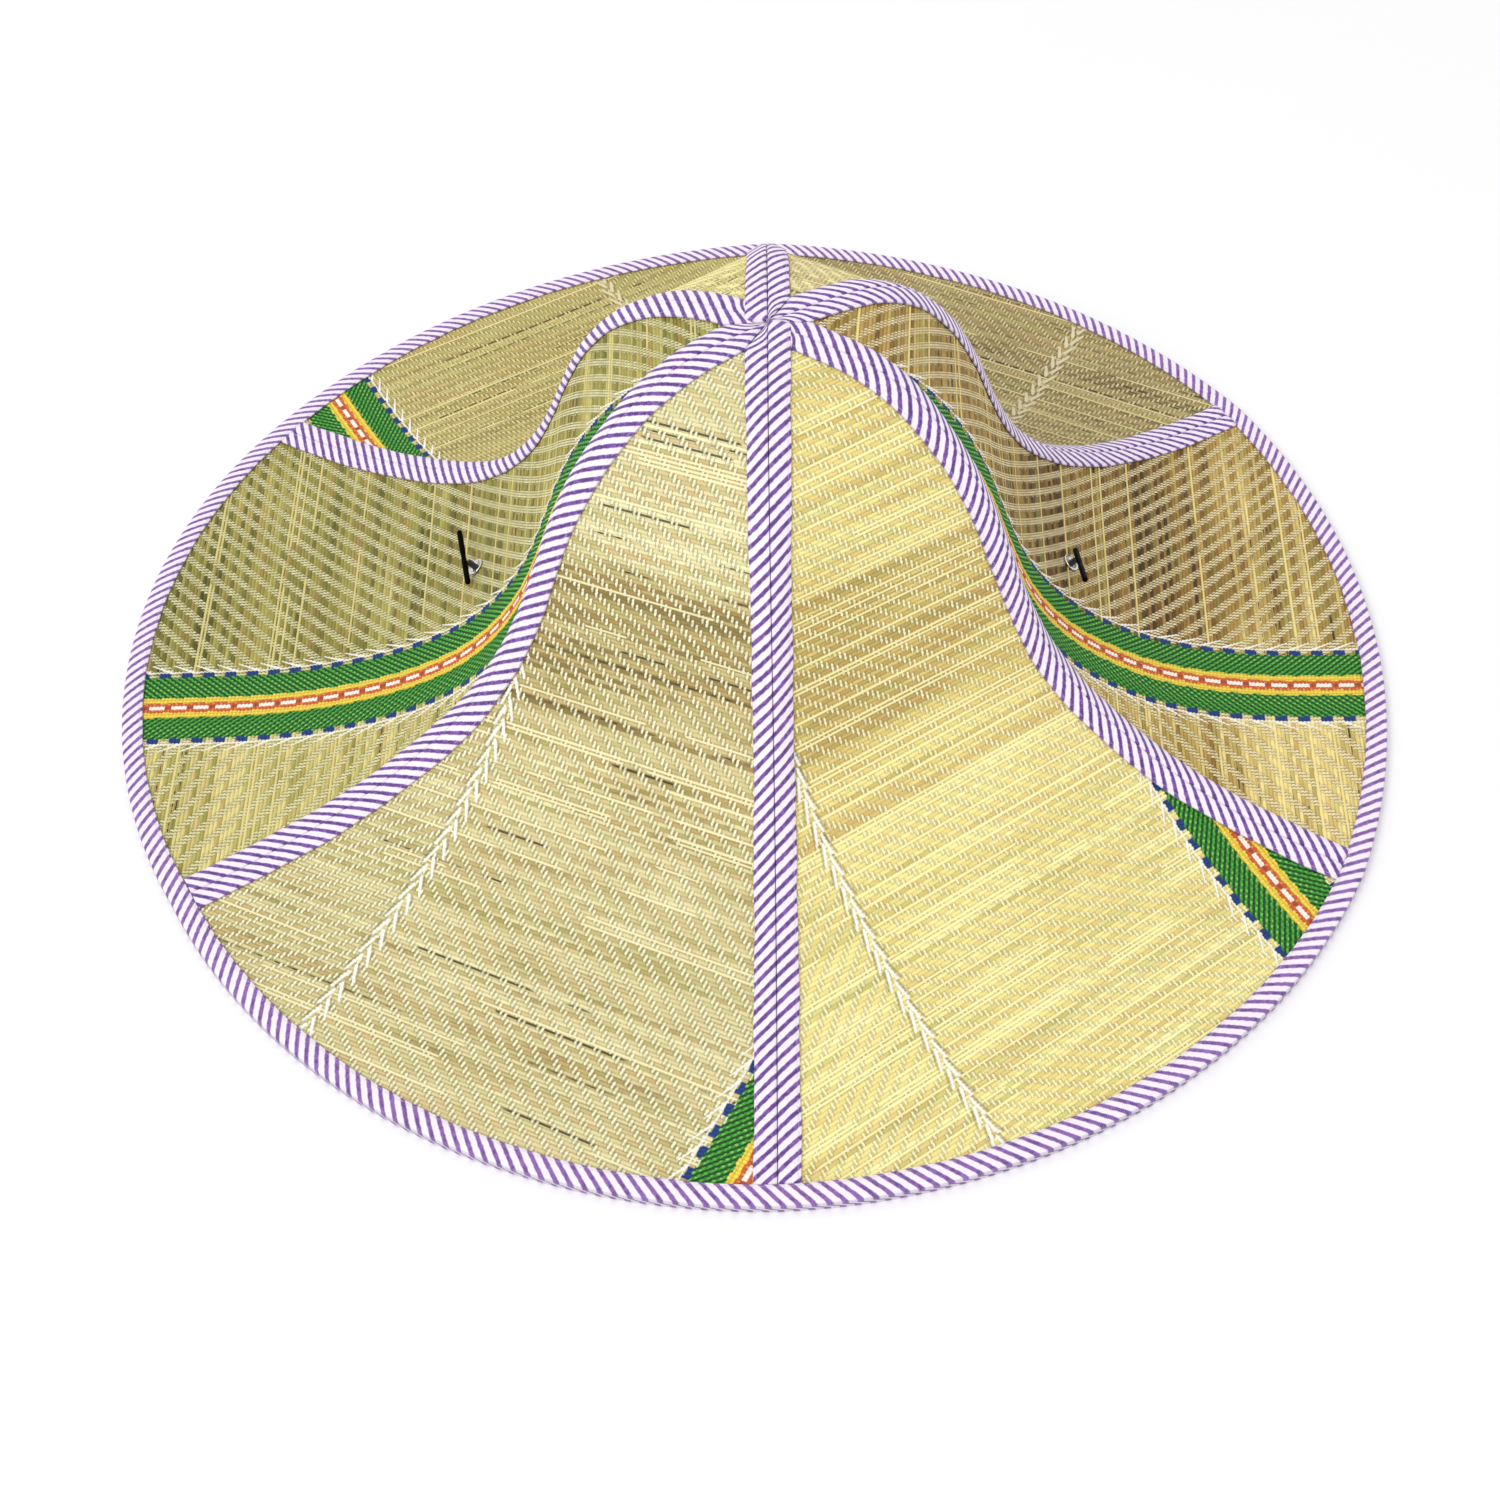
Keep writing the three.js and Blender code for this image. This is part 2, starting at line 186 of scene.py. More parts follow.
# Each toggle bar by its lower and upper end, the bars' radius, the length over which their ends
# are rounded, and the share of the radius that the waist is sunk by.
TOGGLE_RADIUS = 0.9
TOGGLE_ROUNDING = 0.8
TOGGLE_WAIST = 0.16
TOGGLES = {
    "left": ((-95.9, -2.4, 25.9), (-99.9, 17.3, 30.3)),
    "right": ((95.2, -12.8, 31.9), (94.7, 6.6, 26.5)),
}

# The photograph's camera: its place in millimetres, its turns in degrees and its lens.
CAMERA_PLACE = (11.7, -435.0, 457.1)
CAMERA_YAW, CAMERA_DOWN, CAMERA_ROLL = -1.67, 49.87, -2.44
CAMERA_LENS, CAMERA_SENSOR = 46.8, 36

# Distances from the coloured band's middle over which each colour ends, those of the white strand
# and of its ends' roots, all in millimetres, and the length after which the dashes repeat.
BAND_CORE_END = (0.6, 0.8)
BAND_RED_END = (1.8, 2.05)
BAND_YELLOW_END = (3.8, 4.2)
BAND_GREEN_END = (12.6, 12.9)
BAND_BLUE_END = (14.5, 14.8)
BAND_STRAND_AT = 15.0
BAND_STRAND_ROOTS = 14.9
BAND_BEAT = 6.9

# The chevron line's floats repeat after this many stems.
CHEVRON_BEAT = 5.5

# The tape's stripes lie at 45 degrees, and a row of stitches follows its free edge.
STRIPE_PITCH = 2.8
STITCH_LENGTH = 2.4
STITCHES_FROM_EDGE = 0.75

# Each mat's looks: the stems' tones from the darkest to the palest, the threads' tone, where the
# band and the chevron line lie across the mat, how the weave differs from the plain one, and the
# painted light and shade: runs of stems made lighter or darker, and the band's lighter front side.
GRASS = {
    "front_right": {
        "tones": [(190, 164, 94), (222, 198, 120), (238, 220, 140), (249, 238, 158), (255, 250, 186)],
        "thread_tone": (255, 252, 214),
        "seed": 1.5,
        "band_at": 75,
        "chevron_at": -39,
        "chevron_arms": (1.9, 1.3),
        "loose": 0.24,
        "darks": 0,
        "thick": 0.24,
        "shading": 0.3,
        "lit_and_shaded_runs": [(72, 112, -0.3), (130, 220, 0.16)],
    },
    "right": {
        "tones": [(72, 48, 14), (120, 88, 32), (160, 128, 56), (202, 172, 92), (250, 230, 152)],
        "thread_tone": (248, 234, 190),
        "seed": 12.5,
        "band_at": -29,
        "over": 3,
        "thread_pitch": 1.2,
        "darks": 0.1,
        "thick": 0.34,
        "shading": 0.5,
        "lit_side": -1,
        "lit_and_shaded_runs": [(92, 166, -0.24), (180, 240, 0.2)],
    },
    "back_right": {
        "tones": [(96, 76, 38), (140, 120, 72), (168, 150, 98), (190, 172, 116), (242, 228, 168)],
        "thread_tone": (228, 214, 170),
        "seed": 23.5,
        "chevron_at": -30,
        "chevron_arms": (2.6, 2.6),
        "chevron_width": (0.85, 0.5),
        "chevron_tone": (226, 216, 180),
        "darks": 0.1,
        "lit_and_shaded_runs": [(0, 50, 0.55)],
    },
    "back_left": {
        "tones": [(130, 114, 60), (168, 152, 88), (192, 178, 110), (212, 198, 128), (254, 242, 172)],
        "thread_tone": (238, 226, 168),
        "seed": 34.5,
        "band_at": 78,
        "chevron_at": -36,
        "chevron_arms": (2.6, 2.6),
        "chevron_width": (0.85, 0.5),
        "chevron_tone": (230, 220, 182),
        "lit_and_shaded_runs": [(0, 50, 0.6)],
    },
    "left": {
        "tones": [(64, 60, 14), (106, 101, 36), (146, 138, 60), (180, 170, 88), (230, 216, 142)],
        "thread_tone": (240, 236, 190),
        "seed": 45.5,
        "band_at": 28.5,
        "over": 3,
        "thread_pitch": 1.2,
        "thick": 0.34,
        "shading": 0.5,
        "lit_side": 1,
        "lit_and_shaded_runs": [(0, 84, 0.1)],
    },
    "front_left": {
        "tones": [(140, 122, 66), (192, 174, 114), (216, 203, 147), (231, 222, 168), (247, 241, 192)],
        "thread_tone": (255, 253, 220),
        "seed": 56.5,
        "band_at": 88.7,
        "chevron_at": -40,
        "loose": 0.12,
        "darks": 0.06,
        "shading": 0.42,
        "lit_and_shaded_runs": [(0, 66, 0.22), (76, 112, -0.26)],
    },
}


def smoothstep(value, low, high):
    """Nought below low, one above high, and 3t^2 - 2t^3 between."""
    t = np.clip((value - low) / (high - low), 0, 1)
    return t * t * (3 - 2 * t)


def srgb(red, green, blue):
    """The linear colour of three screen values from 0 to 255."""
    share = np.array([red, green, blue]) / 255
    linear = np.where(share <= 0.04045, share / 12.92, ((share + 0.055) / 1.055) ** 2.4)
    return (*(float(part) for part in linear), 1.0)


def uniform_spline(points, place):
    """A cubic through evenly counted points; its slope at each is half the step past it."""
    last = len(points) - 1
    place = np.clip(place, 0, last)
    i = np.minimum(place.astype(int), last - 1)
    t = (place - i)[..., None]
    before, here = points[np.maximum(i - 1, 0)], points[i]
    there, after = points[i + 1], points[np.minimum(i + 2, last)]
    leave, arrive = (there - before) / 2, (after - here) / 2
    cubic = 2 * here - 2 * there + leave + arrive
    square = 3 * there - 3 * here - 2 * leave - arrive
    return ((cubic * t + square) * t + leave) * t + here


def spaced_spline(points, steps):
    """A cubic through points whose slopes weigh the roots of their distances, sampled evenly."""
    ends = [2 * points[0] - points[1], *points, 2 * points[-1] - points[-2]]
    padded = np.array(ends)
    place = np.linspace(0, len(points) - 1, steps)
    i = np.minimum(place.astype(int), len(points) - 2)
    t = (place - i)[:, None]
    p0, p1, p2, p3 = (padded[i + k] for k in range(4))
    spans = ((p0, p1), (p1, p2), (p2, p3))
    d0, d1, d2 = (np.linalg.norm(b - a, axis=1, keepdims=True) ** 0.5 for a, b in spans)
    leave = ((p1 - p0) / d0 - (p2 - p0) / (d0 + d1) + (p2 - p1) / d1) * d1
    arrive = ((p2 - p1) / d1 - (p3 - p1) / (d1 + d2) + (p3 - p2) / d2) * d1
    cubic = 2 * p1 - 2 * p2 + leave + arrive
    square = 3 * p2 - 3 * p1 - 2 * leave - arrive
    return ((cubic * t + square) * t + leave) * t + p1


def seam_points(seam, row):
    """A seam's points at rows of the profile: the profile turned to the seam's azimuth, pushed out
    by its fullness at each swell, its outer part stretched so that it ends at the seam's reach."""
    _, azimuth, reach, fullness = SEAMS[seam]
    curve = uniform_spline(SEAM_PROFILE, row)
    out, height = curve[..., 0], np.maximum(curve[..., 1], 0) + UNDERSIDE
    outward = 0
    for full, (place, span, push) in zip(fullness, SWELLS):
        swell = full * np.exp(-(((out - place) / span) ** 2))
        outward = outward + swell * push[0]
        height = height + swell * push[1]
    spread = smoothstep(out, SPREAD_FROM, NOMINAL_REACH)
    radius = (out + outward) * (1 + (reach / NOMINAL_REACH - 1) * spread)
    turn = np.radians(azimuth)
    return np.stack([radius * np.cos(turn), radius * np.sin(turn), height], -1)


def unit(vectors):
    """Vectors at length one."""
    return vectors / np.linalg.norm(vectors, axis=-1, keepdims=True)


class Gore:
    """One mat's ruled face: at each row of the profile a level line runs from seam to seam."""

    def __init__(self, index):
        self.name, self.bulge, stem_angle = GORES[index]
        self.slant = np.tan(np.radians(stem_angle))
        self.seams = (index, (index + 1) % len(SEAMS))
        first, last = (np.radians(SEAMS[seam][1]) for seam in self.seams)
        self.turns = (first, last + 2 * np.pi if last < first else last)
        self.inwards = (
            np.array([-np.sin(first), np.cos(first), 0]),
            np.array([np.sin(last), -np.cos(last), 0]),
        )

    def surface(self, row, across, depth):
        """The point a share across the line at a row, sunk by a depth along the face's normal, and
        that normal, which is square to the line and to the way down the mat."""
        row = np.maximum(row, 0.02)
        a, b = (seam_points(seam, row) for seam in self.seams)
        a2, b2 = (seam_points(seam, row + SLOPE_STEP) for seam in self.seams)
        share = np.asarray(across)[..., None]
        here = a + (b - a) * share
        normal = unit(np.cross(a2 + (b2 - a2) * share - here, b - a))
        return here - np.asarray(depth)[..., None] * normal, normal

    def edge_reach(self, points):
        """The brim edge's distance from the axis in each point's direction: between the reaches of
        the two seams, plus a parabola that is the bulge high in the middle."""
        turn = np.arctan2(points[..., 1], points[..., 0])
        turn = np.where(turn < self.turns[0] - np.pi / 2, turn + 2 * np.pi, turn)
        w = (turn - self.turns[0]) / (self.turns[1] - self.turns[0])
        first, last = (SEAMS[seam][2] for seam in self.seams)
        return first + (last - first) * w + self.bulge * 4 * w * (1 - w)

    def at_inset(self, across, inset, depth):
        """The points a share across and an inset from the brim's edge, their rows found by
        halving a stretch of rows thirty times."""
        low, high = np.full_like(inset, 10.0), np.full_like(inset, len(SEAM_PROFILE) - 1.0)
        for _ in range(30):
            row = (low + high) / 2
            point, _ = self.surface(row, across, depth)
            is_inside = np.hypot(point[..., 0], point[..., 1]) < self.edge_reach(point) - inset
            low, high = np.where(is_inside, row, low), np.where(is_inside, high, row)
        return self.surface((low + high) / 2, across, depth)[0]

    def lay_flat(self):
        """Rows of the profile against the length of the mat's middle line from the tip."""
        rows = np.linspace(0, len(SEAM_PROFILE) - 1, 1500)
        middle = sum(seam_points(seam, rows) for seam in self.seams) / 2
        steps = np.linalg.norm(np.diff(middle, axis=0), axis=1)
        return rows, np.concatenate([[0], np.cumsum(steps)])

    def at_flat(self, across, along, depth):
        """The points of the mat laid flat: millimetres across from its middle and along from the
        tip. Also how far each lies inside the mat's outline, which tapes cover."""
        rows, lengths = self.lay_flat()
        row = np.maximum(np.interp(along, lengths, rows), 0.02)
        a, b = (seam_points(seam, row) for seam in self.seams)
        chord = np.linalg.norm(b - a, axis=-1)
        point, _ = self.surface(row, 0.5 + across / chord, depth)
        to_seam = chord / 2 - HIDDEN_UNDER_TAPE - np.abs(across)
        to_edge = self.edge_reach(point) - HIDDEN_UNDER_TAPE - np.hypot(point[..., 0], point[..., 1])
        return point, np.minimum(np.minimum(to_seam, to_edge), along - MAT_START)


def aim_camera():
    """A camera at the photograph's place, aimed 50 degrees down at the hat and rolled a little."""
    yaw, pitch, roll = np.radians([CAMERA_YAW, CAMERA_DOWN, CAMERA_ROLL])
    forward = np.array([np.sin(yaw) * np.cos(pitch), np.cos(yaw) * np.cos(pitch), -np.sin(pitch)])
    level = np.array([np.cos(yaw), -np.sin(yaw), 0])
    upward = np.cross(level, forward)
    right = np.cos(roll) * level + np.sin(roll) * upward
    up = np.cross(right, forward)
    data = bpy.data.cameras.new("photo_camera")
    data.lens = CAMERA_LENS
    data.sensor_width = CAMERA_SENSOR
    data.clip_end = 20
    camera = bpy.data.objects.new("photo_camera", data)
    turn = Matrix(np.stack([right, up, -forward], 1).tolist()).to_4x4()
    camera.matrix_world = Matrix.Translation(Vector(CAMERA_PLACE) * MM) @ turn
    bpy.context.collection.objects.link(camera)
    bpy.context.scene.camera = camera


class Signal:
    """The numbers of one node socket. Arithmetic on it adds Math nodes to its finish."""

    def __init__(self, finish, socket):
        self.finish = finish
        self.socket = socket

    def _math(self, operation, *values):
        made = self.finish.node("Math", {"operation": operation}, dict(enumerate(values)))
        return Signal(self.finish, made.outputs[0])

    def __add__(self, other):
        return self._math("ADD", self, other)

    def __radd__(self, other):
        return self._math("ADD", other, self)

    def __sub__(self, other):
        return self._math("SUBTRACT", self, other)

    def __rsub__(self, other):
        return self._math("SUBTRACT", other, self)

    def __mul__(self, other):
        return self._math("MULTIPLY", self, other)

    def __rmul__(self, other):
        return self._math("MULTIPLY", other, self)

    def __truediv__(self, other):
        return self._math("DIVIDE", self, other)

    def __mod__(self, other):
        return self._math("FLOORED_MODULO", self, other)

    def __pow__(self, other):
        return self._math("POWER", self, other)

    def __abs__(self):
        return self._math("ABSOLUTE", self)

    def __lt__(self, other):
        return self._math("LESS_THAN", self, other)

    def __gt__(self, other):
        return self._math("GREATER_THAN", self, other)

    def floor(self):
        return self._math("FLOOR", self)

    def fract(self):
        return self._math("FRACT", self)

    def sine(self):
        return self._math("SINE", self)

    def most(self, other):
        return self._math("MAXIMUM", self, other)

    def between(self, low, high):
        """Nought below low and one above high, with a soft step between."""
        settings = {"interpolation_type": "SMOOTHSTEP"}
        made = self.finish.node("MapRange", settings, {0: self, 1: low, 2: high})
        return Signal(self.finish, made.outputs[0])


class Finish:
    """A node material on one Principled shader, whose constants are set on its own sockets."""

    def __init__(self, name, **constants):
        self.material = bpy.data.materials.new(name)
        self.material.use_nodes = True
        self.tree = self.material.node_tree
        self.shader = self.tree.nodes["Principled BSDF"]
        for socket, value in constants.items():
            self.shader.inputs[socket.replace("_", " ")].default_value = value

    def join(self, value, socket):
        """Sets a socket to a number or colour, or links it to a signal or another socket."""
        if isinstance(value, Signal):
            value = value.socket
        if isinstance(value, bpy.types.NodeSocket):
            self.tree.links.new(value, socket)
        else:
            socket.default_value = value

    def node(self, kind, settings=None, sockets=None):
        """Adds a node of a kind, with its settings first and then its sockets' values or links."""
        made = self.tree.nodes.new("ShaderNode" + kind)
        for key, value in (settings or {}).items():
            if key == "stops":
                stops = made.color_ramp.elements
                stops.remove(stops[1])
                stops[0].position, stops[0].color = value[0]
                for place, colour in value[1:]:
                    stops.new(place).color = colour
            else:
                setattr(made, key, value)
        for key, value in (sockets or {}).items():
            self.join(value, made.inputs[key])
        return made

    def mixed(self, share, first, second):
        """A colour between two, by a share."""
        sockets = {0: share, 6: first, 7: second}
        return self.node("Mix", {"data_type": "RGBA"}, sockets).outputs[2]

    def ramp(self, value, stops):
        """A colour from stops, each a place and a colour."""
        return self.node("ValToRGB", {"stops": stops}, {0: value}).outputs[0]

    def attribute(self, name):
        """The three numbers of a piece's own attribute."""
        vector = self.node("Attribute", {"attribute_name": name}).outputs["Vector"]
        parts = self.node("SeparateXYZ", None, {0: vector})
        return [Signal(self, part) for part in parts.outputs]

    def place(self, x, y, z=0.0):
        """A vector from three numbers."""
        return self.node("CombineXYZ", None, {0: x, 1: y, 2: z}).outputs[0]

    def parts(self, colour):
        """The three numbers of a colour."""
        split = self.node("SeparateColor", None, {0: colour})
        return [Signal(self, part) for part in split.outputs]

    def chances(self, x, y, z=0.0):
        """Three numbers from nought to one that differ at each whole step of the inputs."""
        sockets = {"Vector": self.place(x, y, z)}
        made = self.node("TexWhiteNoise", {"noise_dimensions": "3D"}, sockets)
        return self.parts(made.outputs["Color"])

    def drifts(self, x, y, z=0.0, detail=1.0):
        """Three numbers round a half that wander smoothly, about once in each unit."""
        sockets = {"Vector": self.place(x, y, z), "Scale": 1.0, "Detail": detail}
        made = self.node("TexNoise", {"noise_dimensions": "3D"}, sockets)
        return self.parts(made.outputs[1])

    def speckle(self, scale, detail):
        """A number round a half that wanders over the piece, about scale times in each metre."""
        place = self.node("TexCoord").outputs["Object"]
        sockets = {"Vector": place, "Scale": scale, "Detail": detail}
        return Signal(self, self.node("TexNoise", None, sockets).outputs[0])

    def bump(self, height, distance, strength=1.0):
        """Relief from a height between nought and one."""
        sockets = {"Height": height, "Distance": distance, "Strength": strength}
        self.join(self.node("Bump", None, sockets).outputs[0], self.shader.inputs["Normal"])


class Weave:
    """Where each point of a mat lies in its cloth. A thread lies over a number of stems and under
    as many, one stem further on for each thread away from a middle line."""

    def __init__(self, finish, middle, over, thread_pitch):
        self.across, self.stem, _ = finish.attribute("weave")
        place = self.across / thread_pitch
        self.thread = place.floor()
        self.beside = place - self.thread - 0.5
        self.lift = (self.stem - abs(self.thread - round(middle / thread_pitch))) % (2 * over)
        self.row = self.stem.floor()
        self.ridge = abs(self.stem - self.row - 0.5)


def chevron_floats(finish, weave, line, arms, width, tone, colour, height):
    """Adds feathered floats that run away from the chevron line on both sides, with a line of painted
    shade beside them. Arms are the floats' slants before and after the line, and width is their half
    width at root and end."""
    is_after = weave.across > line
    side = abs(weave.across - line)
    reach = ((weave.stem + is_after * 2.2) / CHEVRON_BEAT).fract()
    slant = (is_after * (arms[1] - arms[0]) + arms[0]) * reach
    wide, narrow = width
    off_float = abs(side - slant - 0.1) + reach * (wide - narrow)
    feather = 1 - off_float.between(wide - 0.14, wide + 0.14)
    # Painted shade: a dark line beside each feathered float, in the gap where it stands off the
    # stems.
    gap = (1 - abs(side - slant - wide - 0.5).between(0.2, 0.5)) * (side < 2.8)
    colour = finish.mixed(gap * 0.5, colour, srgb(120, 108, 70))
    colour = finish.mixed(feather, colour, srgb(*tone))
    return colour, height.most(feather)


def coloured_band(finish, weave, line, colour, height):
    """Adds the coloured band. Away from its middle lie white and red dashes, red, yellow, green,
    blue dashes and a white strand whose ends run out into the mat."""
    side = abs(weave.across - line)
    edge = side + (weave.lift < 2) * 0.4 - 0.2
    beat = (weave.stem * STEM_PITCH / BAND_BEAT).fract()
    off_thread = abs(weave.beside)
    # Painted shade: the band's yellow and green yarn is made darker between its threads, where the
    # relief is lowest.
    warp = off_thread.between(0.16, 0.46)
    on_stem = 1 - weave.ridge.between(0.24, 0.4)
    peek = ((weave.row + weave.thread) % 2) * on_stem * (1 - off_thread.between(0.22, 0.42))
    white_dash = 1 - abs(beat - 0.4).between(0.33, 0.37)
    core = finish.mixed(white_dash, srgb(180, 74, 36), srgb(255, 248, 238))
    red = finish.mixed(peek * 0.6, srgb(206, 96, 42), srgb(234, 170, 104))
    yellow = finish.mixed(warp * 0.5, srgb(246, 214, 66), srgb(196, 158, 40))
    yellow = finish.mixed(peek * 0.6, yellow, srgb(252, 238, 130))
    twill = abs(((weave.stem - side) / 2).fract() - 0.5).between(0.16, 0.32)
    green = finish.mixed(twill, srgb(72, 178, 54), srgb(12, 76, 18))
    green = finish.mixed(warp * 0.5, green, srgb(12, 68, 14))
    green = finish.mixed(peek * (1 - twill) * 0.7, green, srgb(140, 212, 96))
    band = finish.mixed(1 - edge.between(*BAND_YELLOW_END), green, yellow)
    band = finish.mixed(1 - edge.between(*BAND_RED_END), band, red)
    band = finish.mixed(1 - side.between(*BAND_CORE_END), band, core)
    in_green = 1 - edge.between(*BAND_GREEN_END)
    in_blue = (1 - edge.between(*BAND_BLUE_END)) * (1 - abs(beat - 0.3).between(0.24, 0.3))
    strand = (1 - abs(side - BAND_STRAND_AT).between(0.2, 0.5)) * 0.8
    off_end = abs(side - BAND_STRAND_ROOTS - beat * 3.2) + beat * 0.3
    feather = strand.most(1 - off_end.between(0.42, 0.68))
    colour = finish.mixed(feather, colour, srgb(252, 249, 236))
    colour = finish.mixed(in_blue, colour, srgb(16, 56, 124))
    colour = finish.mixed(in_green, colour, band)
    height = height * (1 - in_green) + in_green * ((0.5 - off_thread) + peek * 0.3)
    return colour, height.most(feather)


def woven_grass(
    name,
    tones,
    thread_tone,
    seed,
    band_at=None,
    chevron_at=None,
    chevron_arms=(1.8, 3.2),
    chevron_width=(0.62, 0.4),
    chevron_tone=(252, 250, 240),
    over=2,
    thread_pitch=THREAD_PITCH,
    loose=0.1,
    darks=0.04,
    thick=0.27,
    shading=0.45,
    lit_side=0,
    lit_and_shaded_runs=(),
):
    """A grass mat's finish. Threads are thick in shares of their pitch and float over a number of
    stems. Loose and darks are the shares of stems that ride over the threads and that are dark,
    and shading is how dark the threads' painted shadow is. Each listed run of stems, from one
    number to another, is painted lighter or darker than the rest as painted light and shade: the
    steep middle of a mat darker, its tip and brim lighter. On the band's lit side, picked by a sign,
    the stems are painted lighter, as painted light from the front."""
    finish = Finish(name, Roughness=0.72)
    weave = Weave(finish, band_at if chevron_at is None else chevron_at, over, thread_pitch)
    across, stem, row, ridge = weave.across, weave.stem, weave.row, weave.ridge
    pull, slip, _ = finish.chances(weave.thread, row, seed + 7.0)
    end = abs(weave.lift - over / 2 + (slip - 0.5) * 0.5) / (over * 0.56)
    dash = 1 - ((weave.beside / thick) ** 2 + end**4).between(0.75, 1.25)
    shade = (1 - ((weave.beside / 0.52) ** 4 + (end / 1.08) ** 4).between(0.8, 1.15)) * (1 - dash)

    # Each stem has its own tone, which drifts along it.
    luck, tan_luck, green_luck = finish.chances(row, seed)
    ride_luck, dark_luck, burnt_and_groove_shade_luck = finish.chances(row, seed + 3.0)
    drift, tan_drift, green_drift = finish.drifts(across / 30, row * 5.13, seed)
    patch, ride_drift, dark_drift = finish.drifts(across / 45, stem / 18, seed + 9.5, 2.0)
    fibre = finish.drifts(across / 2.6, stem * 3.1, seed + 4.5, 2.0)[0]
    tone = luck * 0.5 + drift * 0.6 + patch * 0.6 + fibre * 0.3 - 0.55
    # Painted light: the stems on the band's front side, picked by the sign, are made lighter, as if
    # lit from the front.
    if lit_side:
        tone = tone + ((across - band_at) * lit_side > 0) * 0.4
    # Painted light and shade: each listed run of stems is made lighter or darker, the steep middle of
    # a mat darker and its tip and brim lighter.
    for first, last, change in lit_and_shaded_runs:
        tone = tone + (stem.between(first - 8, first) - stem.between(last, last + 8)) * change
    dark, low, middle, high, pale = (srgb(*screen) for screen in tones)
    grass = finish.ramp(tone, [(0.0, dark), (0.2, low), (0.45, middle), (0.7, high), (1.0, pale)])

    # Some stems are tan, green, smoky or burnt and some ride over the threads. The grooves between
    # stems get painted shade, deeper between some stems, and the threads get a painted shadow beside
    # them.
    tan = (tan_luck > 0.72) * tan_drift.between(0.42, 0.6)
    grass = finish.mixed(tan * 0.4, grass, srgb(202, 156, 92))
    green = (green_luck > 0.72) * green_drift.between(0.42, 0.6)
    grass = finish.mixed(green * 0.4, grass, srgb(168, 172, 92))
    smoky = (dark_luck < darks) * dark_drift.between(0.47, 0.52)
    smoky = smoky * (1 - ridge.between(0.14, 0.3)) * (0.35 + pull)
    grass = finish.mixed(smoky * 0.8, grass, srgb(70, 50, 20))
    burnt = (burnt_and_groove_shade_luck > 1 - darks * 0.6) * dark_drift.between(0.56, 0.58)
    burnt = burnt * (1 - ridge.between(0.22, 0.34))
    grass = finish.mixed(burnt * 0.9, grass, srgb(40, 28, 14))
    riding = (ride_luck < loose) * (ride_drift > 0.42) * (1 - smoky)
    riding = riding * (1 - ridge.between(0.2, 0.34))
    grass = finish.mixed(riding * 0.8, grass, pale)
    # Painted shade in the grooves between stems: darker everywhere, and much darker between some
    # stems.
    deep_groove_shade = (burnt_and_groove_shade_luck < 0.16) * (ride_drift < 0.52)
    grass = finish.mixed(ridge.between(0.33, 0.5) * (0.32 + deep_groove_shade * 0.5), grass, dark)
    grass = finish.mixed(shade * (1 - riding) * shading, grass, srgb(96, 82, 44))

    dash = dash * (1 - riding * 0.9) * (0.6 + pull * 0.4)
    colour = finish.mixed(dash, grass, finish.mixed(luck * 0.35, srgb(*thread_tone), high))
    height = (0.5 - ridge) * 0.5 + dash * 0.6 + fibre * 0.15
    if chevron_at is not None:
        floats = chevron_at, chevron_arms, chevron_width, chevron_tone
        colour, height = chevron_floats(finish, weave, *floats, colour, height)
    if band_at is not None:
        colour, height = coloured_band(finish, weave, band_at, colour, height)
    finish.join(colour, finish.shader.inputs["Base Color"])
    finish.bump(height, 0.00035, 0.8)
    return finish.material


